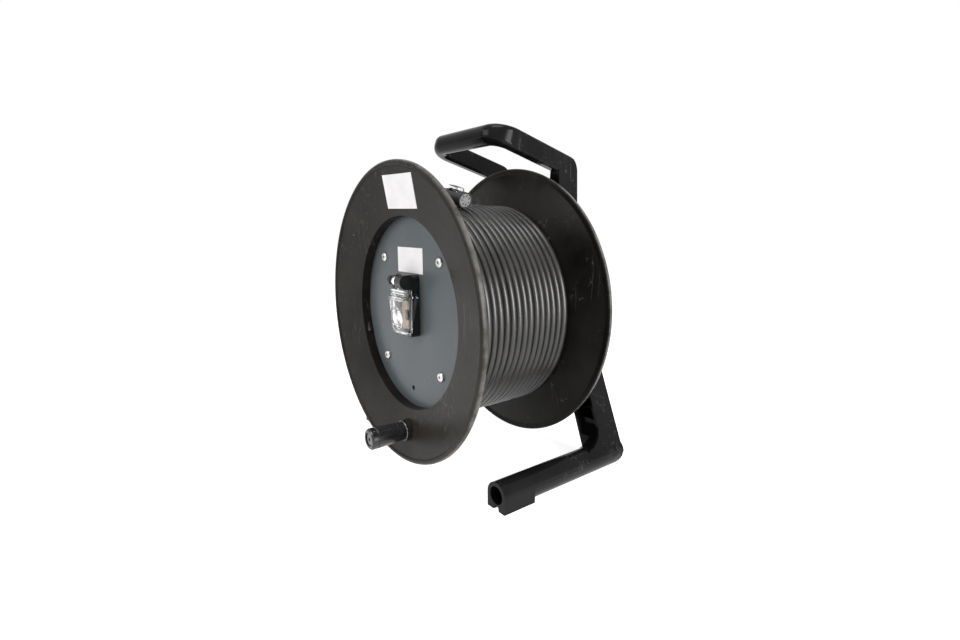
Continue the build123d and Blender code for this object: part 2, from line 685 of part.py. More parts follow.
    # Arm, bend and half the grip of the carrying handle
    with BuildSketch(ARM_FACE) as arm_section:
        RectangleRounded(ARM_THICK, ARM_HEIGHT, ARM_EDGE_R)
    extrude(amount=-FRAME_BACK)
    with BuildSketch(side_plane(0)):
        with Locations((FRAME_BACK, 0)):
            Rectangle(FRAME_BACK, 2 * AXIS_HEIGHT, align=(Align.MIN, Align.CENTER))
    extrude(amount=2 * FOOT_SPREAD, mode=Mode.SUBTRACT)
    with BuildSketch(side_plane(0)):
        with BuildLine():
            corner_height = POST_TOP + ARM_HEIGHT / 2 / math.cos(SLOPE)
            corner_run = ARM_BACK_R / math.tan(math.radians(RIGHT_ANGLE + ARM_SLOPE) / 2)
            corner_top = (
                FRAME_BACK - corner_run * math.cos(SLOPE),
                corner_height + corner_run * math.sin(SLOPE),
            )
            corner_back = (FRAME_BACK, corner_height - corner_run)
            Polyline(corner_back, (FRAME_BACK, corner_height), corner_top)
            RadiusArc(corner_top, corner_back, ARM_BACK_R)
        make_face()
    extrude(amount=2 * FOOT_SPREAD, mode=Mode.SUBTRACT)
    with BuildSketch(GRIP_FACE) as grip_section:
        RectangleRounded(GRIP_BAR_D, GRIP_BAR_D, GRIP_BAR_D / 2 - GRIP_BAR_FLAT)
    extrude(amount=BEND_END[0])
    with BuildLine(HANDLE_PLANE) as bend_path:
        RadiusArc(BEND_START, BEND_END, HANDLE_BEND_R)
    sweep(
        sections=[arm_section.sketch, grip_section.sketch],
        path=bend_path.wires()[0],
        multisection=True,
    )
    mirror(about=Plane.YZ)
    # Hub boss with the seat of the axle
    with BuildSketch(face_plane(FRAME_BACK)):
        Circle(HUB_BOSS_R)
    extrude(amount=FRAME_BACK - HUB_BOSS_FACE)
    with BuildSketch(face_plane(FRAME_BACK - FRAME_WALL)):
        Circle(AXLE_R + AXLE_FIT)
    extrude(amount=FRAME_BACK - FRAME_WALL - HUB_BOSS_FACE, mode=Mode.SUBTRACT)
frame.part.label = "frame"

# Socket housing with its hinge ears
SOCKET_FACE = PLATE_FACE + SOCKET_DEPTH
HINGE_Y = -(PLATE_FACE + HINGE_STAND_OFF)
SOCKET_LEFT = SOCKET_CENTRE_X - SOCKET_WIDTH / 2
SOCKET_RIGHT = SOCKET_CENTRE_X + SOCKET_WIDTH / 2


def ear_profile(left_x, radius):
    """Side view of a hinge ear: a round knuckle with its foot on the housing."""
    with BuildSketch(side_plane(left_x)) as profile:
        with Locations((HINGE_Y, HINGE_HEIGHT)):
            Circle(radius)
            Rectangle(HINGE_STAND_OFF - SOCKET_DEPTH + EAR_ROOT, 2 * radius, align=(Align.MIN, Align.CENTER))
    return profile.sketch


with BuildPart() as socket_housing:
    with BuildSketch(face_plane(-PLATE_FACE)):
        with Locations((SOCKET_CENTRE_X, (SOCKET_LOW + SOCKET_HIGH) / 2)):
            RectangleRounded(SOCKET_WIDTH, SOCKET_HIGH - SOCKET_LOW, SOCKET_CORNER_R)
    extrude(amount=SOCKET_DEPTH)
    extrude(ear_profile(SOCKET_LEFT, HINGE_BARREL_R), amount=EAR_LEFT_WIDTH)
    extrude(ear_profile(SOCKET_RIGHT - EAR_RIGHT_WIDTH, EAR_RIGHT_R), amount=EAR_RIGHT_WIDTH)
    with BuildSketch(face_plane(-SOCKET_FACE)):
        with Locations((SOCKET_CENTRE_X, (MOUTH_LOW + MOUTH_HIGH) / 2)):
            RectangleRounded(MOUTH_WIDTH, MOUTH_HIGH - MOUTH_LOW, MOUTH_CORNER_R)
    extrude(amount=-MOUTH_DEPTH, mode=Mode.SUBTRACT)
    with BuildSketch(side_plane(SOCKET_LEFT)):
        with Locations((HINGE_Y, HINGE_HEIGHT)):
            Circle(HINGE_PIN_R + PIN_FIT)
    extrude(amount=SOCKET_WIDTH - EAR_RIGHT_R, mode=Mode.SUBTRACT)
socket_housing.part.label = "socket_housing"

# Contact insert at the bottom of the socket's mouth
with BuildPart() as socket_insert:
    with BuildSketch(face_plane(-(SOCKET_FACE - MOUTH_DEPTH))):
        with Locations((SOCKET_CENTRE_X, (MOUTH_LOW + MOUTH_HIGH) / 2)):
            RectangleRounded(
                MOUTH_WIDTH - 2 * INSERT_GAP,
                MOUTH_HIGH - MOUTH_LOW - 2 * INSERT_GAP,
                MOUTH_CORNER_R,
            )
            Rectangle(INSERT_HOLE_WIDTH, INSERT_HOLE_HEIGHT, mode=Mode.SUBTRACT)
    extrude(amount=INSERT_THICK)
socket_insert.part.label = "socket_insert"

with BuildPart() as cover_pin:
    with BuildSketch(side_plane(SOCKET_LEFT)):
        with Locations((HINGE_Y, HINGE_HEIGHT)):
            Circle(HINGE_PIN_R)
    extrude(amount=SOCKET_WIDTH - EAR_RIGHT_R)
cover_pin.part.label = "cover_pin"

# Clear cover: a hollow lid, its neck and the hinge barrel
with BuildPart() as socket_cover:
    cover_back = -(SOCKET_FACE + COVER_GAP)
    neck_top = HINGE_HEIGHT - EAR_RIGHT_R - EAR_GAP
    with BuildSketch(face_plane(cover_back)):
        with Locations((SOCKET_CENTRE_X, (COVER_LOW + COVER_SHOULDER) / 2)):
            RectangleRounded(SOCKET_WIDTH, COVER_SHOULDER - COVER_LOW, COVER_CORNER_R)
    extrude(amount=COVER_DEPTH)
    lid_front = socket_cover.faces().sort_by(Axis.Y)[0]
    fillet(lid_front.edges(), COVER_WALL)
    with BuildSketch(face_plane(cover_back)):
        with Locations((SOCKET_CENTRE_X, COVER_SHOULDER - COVER_CORNER_R)):
            Rectangle(
                SOCKET_WIDTH,
                neck_top - COVER_SHOULDER + COVER_CORNER_R,
                align=(Align.CENTER, Align.MIN),
            )
    extrude(amount=COVER_NECK_DEPTH)
    barrel_left = SOCKET_LEFT + EAR_LEFT_WIDTH + EAR_GAP
    barrel_width = SOCKET_WIDTH - EAR_LEFT_WIDTH - EAR_RIGHT_WIDTH - 2 * EAR_GAP
    with BuildSketch(side_plane(barrel_left)):
        with Locations((HINGE_Y, HINGE_HEIGHT)):
            Circle(HINGE_BARREL_R)
        with Locations((cover_back, neck_top - COVER_WALL)):
            Rectangle(COVER_NECK_DEPTH, HINGE_HEIGHT - neck_top + COVER_WALL, align=(Align.MAX, Align.MIN))
    extrude(amount=barrel_width)
    with BuildSketch(face_plane(cover_back)):
        with Locations((SOCKET_CENTRE_X, (COVER_LOW + COVER_SHOULDER) / 2)):
            RectangleRounded(
                SOCKET_WIDTH - 2 * COVER_WALL,
                COVER_SHOULDER - COVER_LOW - 2 * COVER_WALL,
                COVER_CORNER_R - COVER_WALL,
            )
    extrude(amount=COVER_DEPTH - COVER_WALL, mode=Mode.SUBTRACT)
    with BuildSketch(side_plane(barrel_left)):
        with Locations((HINGE_Y, HINGE_HEIGHT)):
            Circle(HINGE_PIN_R + HINGE_PIN_GAP)
    extrude(amount=barrel_width, mode=Mode.SUBTRACT)
socket_cover.part.label = "socket_cover"

# Plug of the free end, lying on the winding, with its cable
PLUG_SEAT_R = WINDING_R + CABLE_D + PLUG_SEAT_GAP + PLUG_R
PLUG_TURN = math.radians(PLUG_ANGLE)
PLUG_PLANE = Plane(
    origin=(
        PLUG_SEAT_R * math.cos(PLUG_TURN),
        MID_Y + PLUG_ALONG,
        AXIS_HEIGHT + PLUG_SEAT_R * math.sin(PLUG_TURN),
    ),
    x_dir=(0, -1, 0),
    z_dir=(math.sin(PLUG_TURN), 0, -math.cos(PLUG_TURN)),
)
PLUG_FRONT = PLUG_LENGTH / 2

with BuildPart() as plug_body:
    with BuildSketch(PLUG_PLANE.offset(-PLUG_FRONT)):
        Circle(PLUG_BODY_R)
    extrude(amount=PLUG_LENGTH)
    with BuildSketch(PLUG_PLANE.offset(PLUG_FRONT)):
        Circle(PLUG_R)
    extrude(amount=-PLUG_COLLAR_LENGTH)
    with BuildSketch(PLUG_PLANE.offset(-PLUG_FRONT)):
        Circle(PLUG_BODY_R - PLUG_TAIL_STEP)
    with BuildSketch(PLUG_PLANE.offset(-PLUG_FRONT - PLUG_TAIL_LENGTH)):
        Circle(PLUG_TAIL_R)
    loft()
    with BuildSketch(PLUG_PLANE.offset(PLUG_FRONT)):
        Circle(PLUG_FACE_R)
    extrude(amount=-(PLUG_FACE_DEPTH + PLUG_FACE_RECESS), mode=Mode.SUBTRACT)
plug_body.part.label = "plug_body"

with BuildPart() as plug_insert:
    with BuildSketch(PLUG_PLANE.offset(PLUG_FRONT - PLUG_FACE_RECESS)):
        Circle(PLUG_FACE_R - PLUG_FIT)
    extrude(amount=-PLUG_FACE_DEPTH)
    with BuildSketch(PLUG_PLANE.offset(PLUG_FRONT - PLUG_FACE_RECESS)):
        with PolarLocations(PLUG_HOLE_CIRCLE_R, PLUG_HOLE_COUNT):
            Circle(PLUG_HOLE_R)
    extrude(amount=-PLUG_FACE_DEPTH / 2, mode=Mode.SUBTRACT)
plug_insert.part.label = "plug_insert"

# Clear cap that sits open on the back of the plug, hollow under its top
with BuildPart() as plug_cap:
    cap_base = PLUG_BODY_R + PLUG_FIT
    with BuildSketch(PLUG_PLANE.offset(-PLUG_FRONT)):
        with Locations((0, -(cap_base + PLUG_CAP_HEIGHT) / 2)):
            RectangleRounded(PLUG_CAP_WIDTH, cap_base + PLUG_CAP_HEIGHT, PLUG_CAP_CORNER_R)
            RectangleRounded(
                PLUG_CAP_WIDTH - 2 * PLUG_CAP_WALL,
                cap_base + PLUG_CAP_HEIGHT - 2 * PLUG_CAP_WALL,
                PLUG_CAP_CORNER_R - PLUG_CAP_WALL,
                mode=Mode.SUBTRACT,
            )
        Circle(cap_base, mode=Mode.SUBTRACT)
    extrude(amount=PLUG_CAP_LENGTH)
plug_cap.part.label = "plug_cap"

# Short free length of cable from the plug back down into the winding
TAIL_PLANE = Plane(origin=(0, MID_Y + PLUG_ALONG, AXIS_HEIGHT), x_dir=(1, 0, 0), z_dir=(0, -1, 0))
tail_start = TAIL_PLANE.to_local_coords(PLUG_PLANE.from_local_coords((0, 0, -PLUG_FRONT - PLUG_TAIL_LENGTH)))
tail_lift = TAIL_PLANE.to_local_coords(
    PLUG_PLANE.from_local_coords((0, 0, -PLUG_FRONT - PLUG_TAIL_LENGTH - TAIL_FIRST_RUN))
)
TAIL_ROUTE = [
    (tail_start.X, tail_start.Y),
    (tail_lift.X, tail_lift.Y),
    (-57.0, 151.0),
    (-84.0, 127.0),
    (-103.0, 95.0),
    (-118.0, 66.0),
]
TAIL_RADII = []
for before, corner, after in zip(TAIL_ROUTE, TAIL_ROUTE[1:], TAIL_ROUTE[2:]):
    run_in = Vector(*corner) - Vector(*before)
    run_out = Vector(*after) - Vector(*corner)
    turn = math.radians(run_in.get_angle(run_out))
    shorter = min(run_in.length, run_out.length)
    TAIL_RADII.append(TAIL_RADIUS_SHARE * shorter / math.tan(turn / 2))
print("tail radii", [round(radius, 1) for radius in TAIL_RADII])

with BuildPart() as cable_tail:
    with BuildLine(TAIL_PLANE) as tail_path:
        FilletPolyline(*TAIL_ROUTE, radius=TAIL_RADII)
    with BuildSketch(Plane(origin=tail_path.line @ 0, z_dir=tail_path.line % 0)):
        Circle(CABLE_D / 2)
    sweep()
cable_tail.part.label = "cable_tail"
print("tail length", round(sum(edge.length for edge in tail_path.edges()), 1))

os.makedirs("parts", exist_ok=True)
for piece in [
    frame,
    axle,
    axle_washer,
    axle_bolt,
    front_flange,
    back_flange,
    drum_core,
    connector_plate,
    *plate_screws,
    cable_winding,
    crank_pin,
    crank_grip,
    socket_housing,
    socket_insert,
    cover_pin,
    socket_cover,
    plug_body,
    plug_insert,
    plug_cap,
    cable_tail,
]:
    export_step(piece.part, f"parts/{piece.part.label}.step")
    print(piece.part.label, round(piece.part.volume), piece.part.is_valid, len(piece.part.solids()))
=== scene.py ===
import itertools
import math

import bpy
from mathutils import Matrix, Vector, noise


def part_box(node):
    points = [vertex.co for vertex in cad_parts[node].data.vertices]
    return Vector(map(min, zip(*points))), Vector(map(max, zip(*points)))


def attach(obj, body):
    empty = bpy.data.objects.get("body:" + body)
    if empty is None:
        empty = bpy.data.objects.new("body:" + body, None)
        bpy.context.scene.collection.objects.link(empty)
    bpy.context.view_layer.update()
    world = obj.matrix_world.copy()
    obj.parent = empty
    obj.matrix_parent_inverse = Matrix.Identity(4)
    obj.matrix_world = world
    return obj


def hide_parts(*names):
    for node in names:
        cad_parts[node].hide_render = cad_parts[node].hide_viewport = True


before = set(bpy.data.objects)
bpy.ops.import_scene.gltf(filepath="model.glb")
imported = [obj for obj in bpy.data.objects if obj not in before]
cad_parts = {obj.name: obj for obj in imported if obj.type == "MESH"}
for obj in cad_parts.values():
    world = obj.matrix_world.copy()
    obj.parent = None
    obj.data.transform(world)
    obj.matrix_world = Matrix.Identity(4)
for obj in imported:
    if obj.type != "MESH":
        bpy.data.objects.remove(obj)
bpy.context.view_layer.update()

# The drum's place and size from the cable winding's box in model.glb, and its cable's sizes from
# part.py, in metres
MM = 0.001
WIND_LOW, WIND_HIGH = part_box("cable_winding")
DRUM_CENTRE = (WIND_LOW + WIND_HIGH) / 2
MID_Y = DRUM_CENTRE.y
AXIS_Z = DRUM_CENTRE.z
WINDING_OUTER_R = (WIND_HIGH.z - WIND_LOW.z) / 2
CABLE_R = 4.65 * MM
TURN_COUNT = 17


def from_axis(x, y, z):
    """Point in metres from millimetres measured from the drum's centre."""
    return Vector((x * MM, MID_Y + y * MM, AXIS_Z + z * MM))


# Values that the materials share: a noise's middle range, hair lines, spots and the rim band,
# lightened partly as wear and partly as a painted highlight
NOISE_LOW = 0.3
NOISE_HIGH = 0.7
HAIR_DETAIL = 3
HAIR_ROUGH = 0.5
HAIR_STRETCH = 0.03
HAIR_SHIFT = (1.0, 1.7, 0.3)
HAIR_SCALE = 0.5
HAIR_WIDTH = 0.006
SPOT_FROM = 0.60
SPOT_FULL = 0.68
PATCH_EDGE = 0.08
RIM_WEAR_AND_HIGHLIGHT_FROM = 0.1890
RIM_WEAR_AND_HIGHLIGHT_FULL = 0.1898


class Shader:
    """A node material that is built up step by step."""

    def __init__(self, name):
        self.material = bpy.data.materials.new(name)
        self.material.use_nodes = True
        self.nodes = self.material.node_tree.nodes
        self.links = self.material.node_tree.links
        self.surface = self.nodes["Principled BSDF"]
        self.coords = self.nodes.new("ShaderNodeTexCoord").outputs["Object"]

    def node(self, kind, **values):
        made = self.nodes.new(kind)
        for key, value in values.items():
            setattr(made, key, value)
        return made

    def link(self, source, target):
        self.links.new(source, target)

    def noise(self, scale, detail, rough, stretch=(1, 1, 1), shift=(0, 0, 0), turn=(0, 0, 0)):
        """Noise in the object's own space, stretched, shifted and turned."""
        mapping = self.node("ShaderNodeMapping")
        for name, value in (("Scale", stretch), ("Location", shift), ("Rotation", turn)):
            mapping.inputs[name].default_value = value
        self.link(self.coords, mapping.inputs["Vector"])
        texture = self.node("ShaderNodeTexNoise")
        for name, value in (("Scale", scale), ("Detail", detail), ("Roughness", rough)):
            texture.inputs[name].default_value = value
        self.link(mapping.outputs["Vector"], texture.inputs["Vector"])
        return texture.outputs["Fac"]

    def ramp(self, value, stops):
        """Colour that runs between two stops, each a place and a colour."""
        made = self.node("ShaderNodeValToRGB")
        for element, (place, colour) in zip(made.color_ramp.elements, stops):
            element.position = place
            element.color = (*colour, 1)
        self.link(value, made.inputs["Fac"])
        return made.outputs["Color"]

    def grey(self, value, stops):
        """Grey level that runs between two stops, each a place and a level."""
        return self.ramp(value, [(place, (level,) * 3) for place, level in stops])

    def shades(self, value, low, high):
        """Colour that follows the middle range of a noise."""
        return self.ramp(value, [(NOISE_LOW, low), (NOISE_HIGH, high)])

    def levels(self, value, low, high):
        """Grey level that follows the middle range of a noise."""
        return self.grey(value, [(NOISE_LOW, low), (NOISE_HIGH, high)])

    def math(self, operation, first, second=None):
        made = self.node("ShaderNodeMath", operation=operation)
        for socket, value in zip(made.inputs, (first, second)):
            if value is None:
                continue
            if isinstance(value, (int, float)):
                socket.default_value = value
            else:
                self.link(value, socket)
        return made.outputs[0]

    def tint(self, colour, mask, tone, share=1.0):
        """Lay a tone over a colour, as far as the mask is bright."""
        made = self.node("ShaderNodeMix", data_type="RGBA")
        sockets = {socket.name: socket for socket in made.inputs if socket.enabled}
        self.link(self.math("MULTIPLY", mask, share), sockets["Factor"])
        self.link(colour, sockets["A"])
        sockets["B"].default_value = (*tone, 1)
        return [socket for socket in made.outputs if socket.enabled][0]

    def bump(self, height, strength, distance, previous=None):
        made = self.node("ShaderNodeBump")
        made.inputs["Strength"].default_value = strength
        made.inputs["Distance"].default_value = distance
        self.link(height, made.inputs["Height"])
        if previous is not None:
            self.link(previous, made.inputs["Normal"])
        return made.outputs["Normal"]

    def hair_lines(self, scale, turn, seed):
        """Thin irregular lines: a stretched noise cut at its middle value."""
        stretch = (scale, scale, scale * HAIR_STRETCH)
        shift = tuple(seed * share for share in HAIR_SHIFT)
        waves = self.noise(1.0, HAIR_DETAIL, HAIR_ROUGH, stretch, shift, turn)
        away = self.math("ABSOLUTE", self.math("SUBTRACT", waves, 0.5))
        return self.grey(away, [(0.0, 1.0), (HAIR_WIDTH, 0.0)])

    def scuffs(self, scale, patch_scale, cover, seed):
        """Small rubbed spots and short hair lines that gather in patches."""
        spots = self.noise(scale, detail=6, rough=0.7, shift=(seed, 0, seed))
        spots = self.grey(spots, [(SPOT_FROM, 0.0), (SPOT_FULL, 1.0)])
        lines = self.hair_lines(scale * HAIR_SCALE, (0.5 + seed, 0.9, 0.3 * seed), seed)
        patches = self.noise(patch_scale, detail=3, rough=0.5, shift=(0, seed, 2))
        patches = self.grey(patches, [(cover, 0.0), (cover + PATCH_EDGE, 1.0)])
        return self.math("MULTIPLY", self.math("MAXIMUM", spots, lines), patches)

    def from_drum_axis(self):
        """Distance of a point from the drum's axis, in metres."""
        parts = self.node("ShaderNodeSeparateXYZ")
        self.link(self.coords, parts.inputs[0])
        height = self.math("SUBTRACT", parts.outputs["Z"], AXIS_Z)
        across = self.math("MULTIPLY", parts.outputs["X"], parts.outputs["X"])
        up = self.math("MULTIPLY", height, height)
        return self.math("SQRT", self.math("ADD", across, up))

    def finish(self, colour, roughness, normal, **fixed):
        """Link what varies to the surface, and set what doesn't on its sockets."""
        self.link(colour, self.surface.inputs["Base Color"])
        self.link(roughness, self.surface.inputs["Roughness"])
        self.link(normal, self.surface.inputs["Normal"])
        for name, value in fixed.items():
            self.surface.inputs[name.replace("_", " ")].default_value = value
        return self.material


def flange_plastic(name, low, high, smear_share):
    """Faded black moulding: mottled, smeared and scuffed, with a rim lightened partly as wear and
    partly as a painted highlight.
    """
    s = Shader(name)
    mottle = s.noise(scale=11, detail=7, rough=0.62)
    fine = s.noise(scale=170, detail=5, rough=0.6)
    colour = s.ramp(mottle, [(0.34, low), (0.66, high)])
    smears = s.noise(scale=7, detail=4, rough=0.6, stretch=(1, 1, 0.3))
    smears = s.grey(smears, [(0.45, 0.0), (0.70, smear_share)])
    colour = s.tint(colour, smears, tone=(0.033, 0.0285, 0.0240))
    marks = s.scuffs(scale=120, patch_scale=16, cover=0.50, seed=3.1)
    colour = s.tint(colour, marks, tone=(0.13, 0.12, 0.10), share=0.45)
    # Rim band lightened partly as real wear and partly as a painted highlight.
    rim = s.grey(s.from_drum_axis(), [(RIM_WEAR_AND_HIGHLIGHT_FROM, 0.0), (RIM_WEAR_AND_HIGHLIGHT_FULL, 1.0)])
    wear_and_highlight_patches = s.grey(s.noise(scale=45, detail=5, rough=0.65), [(0.38, 0.25), (0.60, 1.0)])
    worn_and_highlight = s.math("MULTIPLY", rim, wear_and_highlight_patches)
    colour = s.tint(colour, worn_and_highlight, tone=(0.24, 0.232, 0.22), share=0.55)
    blend = s.math("ADD", s.math("MULTIPLY", mottle, 0.7), s.math("MULTIPLY", fine, 0.3))
    rough = s.grey(blend, [(0.32, 0.25), (0.68, 0.46)])
    rough = s.math("SUBTRACT", rough, s.math("MULTIPLY", rim, 0.18))
    normal = s.bump(fine, strength=0.10, distance=0.0004)
    normal = s.bump(marks, strength=0.15, distance=0.0002, previous=normal)
    return s.finish(colour, rough, normal, Specular_IOR_Level=0.08)


def frame_plastic():
    """Glossy black moulding with small grey scuffs."""
    s = Shader("frame_plastic")
    cloud = s.noise(scale=16, detail=5, rough=0.6)
    fine = s.noise(scale=240, detail=4, rough=0.6)
    colour = s.shades(cloud, (0.0030, 0.0031, 0.0034), (0.0074, 0.0074, 0.0076))
    marks = s.scuffs(scale=210, patch_scale=24, cover=0.53, seed=5.3)
    colour = s.tint(colour, marks, tone=(0.17, 0.165, 0.155), share=0.30)
    rough = s.levels(cloud, 0.10, 0.20)
    rough = s.math("ADD", rough, s.math("MULTIPLY", marks, 0.2))
    normal = s.bump(fine, strength=0.08, distance=0.0003)
    normal = s.bump(marks, strength=0.2, distance=0.0002, previous=normal)
    return s.finish(colour, rough, normal, Specular_IOR_Level=0.08)


def plate_paint():
    """Blue grey paint with few marks."""
    s = Shader("plate_paint")
    cloud = s.noise(scale=9, detail=5, rough=0.6)
    grain = s.noise(scale=900, detail=3, rough=0.6)
    colour = s.shades(cloud, (0.071, 0.083, 0.090), (0.089, 0.101, 0.109))
    marks = s.scuffs(scale=200, patch_scale=26, cover=0.58, seed=1.4)
    colour = s.tint(colour, marks, tone=(0.3, 0.31, 0.31), share=0.2)
    normal = s.bump(grain, strength=0.08, distance=0.0002)
    return s.finish(colour, s.levels(cloud, 0.30, 0.40), normal, Specular_IOR_Level=0.25)


def cable_jacket():
    """Black jacket with a little dust on it."""
    s = Shader("cable_jacket")
    dust = s.noise(scale=34, detail=7, rough=0.7)
    fine = s.noise(scale=600, detail=3, rough=0.6)
    colour = s.ramp(dust, [(0.32, (0.0065, 0.0061, 0.0056)), (0.70, (0.017, 0.0159, 0.0147))])
    normal = s.bump(fine, strength=0.15, distance=0.0002)
    return s.finish(colour, s.levels(dust, 0.27, 0.39), normal, Specular_IOR_Level=0.45)


def moulded_plastic(name, low, high, smooth, dull):
    """Plain moulding between two tones and two roughnesses."""
    s = Shader(name)
    cloud = s.noise(scale=60, detail=5, rough=0.6)
    fine = s.noise(scale=500, detail=3, rough=0.6)
    normal = s.bump(fine, strength=0.12, distance=0.0002)
    colour = s.shades(cloud, low, high)
    return s.finish(colour, s.levels(cloud, smooth, dull), normal, Specular_IOR_Level=0.4)


def plated_steel(name, low, high):
    """Fine grained metal between two tones."""
    s = Shader(name)
    cloud = s.noise(scale=260, detail=5, rough=0.6)
    normal = s.bump(cloud, strength=0.1, distance=0.0001)
    return s.finish(s.shades(cloud, low, high), s.levels(cloud, 0.24, 0.42), normal, Metallic=1.0)


def clear_plastic():
    """Clear moulding with a slight haze."""
    s = Shader("clear_plastic")
    haze = s.noise(scale=300, detail=4, rough=0.6)
    colour = s.shades(haze, (0.90, 0.91, 0.92), (0.98, 0.98, 0.98))
    rough = s.levels(haze, 0.01, 0.06)
    normal = s.bump(haze, strength=0.1, distance=0.0002)
    return s.finish(colour, rough, normal, Transmission_Weight=1.0, IOR=1.46)


def label_paper():
    """Blank white paper, a little uneven."""
    s = Shader("label_paper")
    cloud = s.noise(scale=60, detail=4, rough=0.5)
    colour = s.shades(cloud, (0.79, 0.762, 0.772), (0.86, 0.832, 0.842))
    normal = s.bump(cloud, strength=0.05, distance=0.0002)
    return s.finish(colour, s.levels(cloud, 0.35, 0.5), normal)


def grey_tone(level):
    """Neutral colour of one level."""
    return (level, level, level)


FLANGE = flange_plastic("flange_plastic", (0.0068, 0.0058, 0.0048), (0.0210, 0.0183, 0.0156), 0.35)
# Darker copy of the flange plastic for the back flange: painted shade, since the same plastic lies in
# shade there.
BACK_FLANGE_PAINTED_SHADE = flange_plastic(
    "back_flange_plastic_painted_shade", (0.0032, 0.0028, 0.0024), (0.0105, 0.0093, 0.0080), 0.20
)
FRAME_BLACK = frame_plastic()
PLATE = plate_paint()
JACKET = cable_jacket()
GRIP = moulded_plastic("grip_plastic", (0.007, 0.007, 0.0075), (0.015, 0.015, 0.016), 0.21, 0.33)
SOCKET = moulded_plastic("socket_plastic", grey_tone(0.003), grey_tone(0.009), 0.31, 0.43)
INSERT = moulded_plastic("insert_plastic", (0.34, 0.26, 0.18), (0.46, 0.37, 0.28), 0.45, 0.57)
PLUG_FACE = moulded_plastic("plug_face_plastic", grey_tone(0.11), grey_tone(0.19), 0.45, 0.57)
STEEL = plated_steel("plated_steel", (0.42, 0.41, 0.39), (0.66, 0.65, 0.62))
# Darker copy of the plated steel for the crank pin and collar: painted shade that stands in for the
# dark surroundings the steel reflects.
STEEL_PAINTED_SHADE = plated_steel("steel_painted_shade", (0.06, 0.06, 0.06), (0.15, 0.15, 0.145))
CLEAR = clear_plastic()
PAPER = label_paper()

NODE_MATERIALS = {
    "frame": FRAME_BLACK,
    "axle": STEEL,
    "axle_washer": STEEL,
    "axle_bolt": STEEL,
    "front_flange": FLANGE,
    "back_flange": BACK_FLANGE_PAINTED_SHADE,
    "drum_core": FLANGE,
    "connector_plate": PLATE,
    "crank_pin": STEEL_PAINTED_SHADE,
    "crank_grip": GRIP,
    "socket_housing": SOCKET,
    "socket_insert": INSERT,
    "cover_pin": STEEL,
    "plug_body": SOCKET,
    "plug_insert": PLUG_FACE,
    "plug_cap": CLEAR,
}
for number in range(1, 5):
    NODE_MATERIALS[f"plate_screw_{number}"] = STEEL
for node_name, node_material in NODE_MATERIALS.items():
    node_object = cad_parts[node_name]
    node_object.data.materials.clear()
    node_object.data.materials.append(node_material)


def mesh_piece(name, verts, faces, material, body, slot, smooth=True):
    """Mesh object of one material that rides on a body."""
    mesh = bpy.data.meshes.new(name)
    mesh.from_pydata(verts, [], faces)
    mesh.validate()
    mesh.materials.append(material)
    for polygon in mesh.polygons:
        polygon.use_smooth = smooth
    piece = bpy.data.objects.new(name, mesh)
    bpy.context.scene.collection.objects.link(piece)
    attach(piece, body)
    return piece


# Wound cable: one helical tube with slightly uneven turns, both ends led in through the core
TURN_STEPS = 96
TUBE_SIDES = 14
START_ANGLE = math.radians(200)
SETTLE_TURNS = 0.5
DRIFT = 0.9 * MM
DRIFT_RATE = 0.31
DRIFT_ROW = 5.0
DRIFT_TURN = 0.35
TURN_JITTER = 0.55 * MM
JITTER_RATE = 2.1
JITTER_ROW = 3.0
LIFT_JITTER = 0.8 * MM
LIFT_RATE = 1.3
LIFT_ROW = 9.0
END_DIVE = 9 * MM
END_TURNS = 0.06


def winding_point(turns):
    """Centre of the cable after so many turns, counted from the back flange."""
    angle = START_ANGLE + 2 * math.pi * turns
    half = (WIND_HIGH.y - WIND_LOW.y) / 2 - CABLE_R
    along = half - 2 * half * turns / (TURN_COUNT - 1)
    to_end = min(turns, TURN_COUNT - 1 - turns)
    free = min(1.0, to_end / SETTLE_TURNS)
    here = Vector((math.cos(angle), math.sin(angle), 0))
    drift_at = Vector((DRIFT_RATE * turns, DRIFT_ROW, 0.0)) + DRIFT_TURN * here
    jitter_at = Vector((JITTER_RATE * turns, 0.0, JITTER_ROW)) + here
    lift_at = Vector((LIFT_RATE * turns, LIFT_ROW, 0.0)) + here
    along += DRIFT * free * noise.noise(drift_at)
    along += TURN_JITTER * free * noise.noise(jitter_at)
    lift = LIFT_JITTER * (noise.noise(lift_at) - 1) / 2
    dive = END_DIVE * max(0.0, 1 - to_end / END_TURNS)
    radius = WINDING_OUTER_R - CABLE_R + lift - dive
    return Vector((radius * math.cos(angle), MID_Y + along, AXIS_Z + radius * math.sin(angle)))


def tube_mesh(points, radius, sides):
    """Rings of a tube round a line of points, with flat closed ends."""
    verts, faces = [], []
    for index, point in enumerate(points):
        before = points[max(index - 1, 0)]
        after = points[min(index + 1, len(points) - 1)]
        tangent = (after - before).normalized()
        outward = Vector((point.x, 0, point.z - AXIS_Z)).normalized()
        side = tangent.cross(outward).normalized()
        up = side.cross(tangent)
        for corner in range(sides):
            turn = 2 * math.pi * corner / sides
            verts.append(point + radius * (math.cos(turn) * up + math.sin(turn) * side))
    for ring in range(len(points) - 1):
        for corner in range(sides):
            following = (corner + 1) % sides
            a, b = ring * sides + corner, ring * sides + following
            faces.append((a, b, b + sides, a + sides))
    faces.append(tuple(reversed(range(sides))))
    faces.append(tuple((len(points) - 1) * sides + corner for corner in range(sides)))
    return verts, faces


step_count = TURN_STEPS * (TURN_COUNT - 1)
helix = [winding_point(step / TURN_STEPS) for step in range(step_count + 1)]
winding_verts, winding_faces = tube_mesh(helix, CABLE_R, TUBE_SIDES)
winding = mesh_piece("wound_cable", winding_verts, winding_faces, JACKET, "drum", "cable_jacket")
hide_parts("cable_winding")

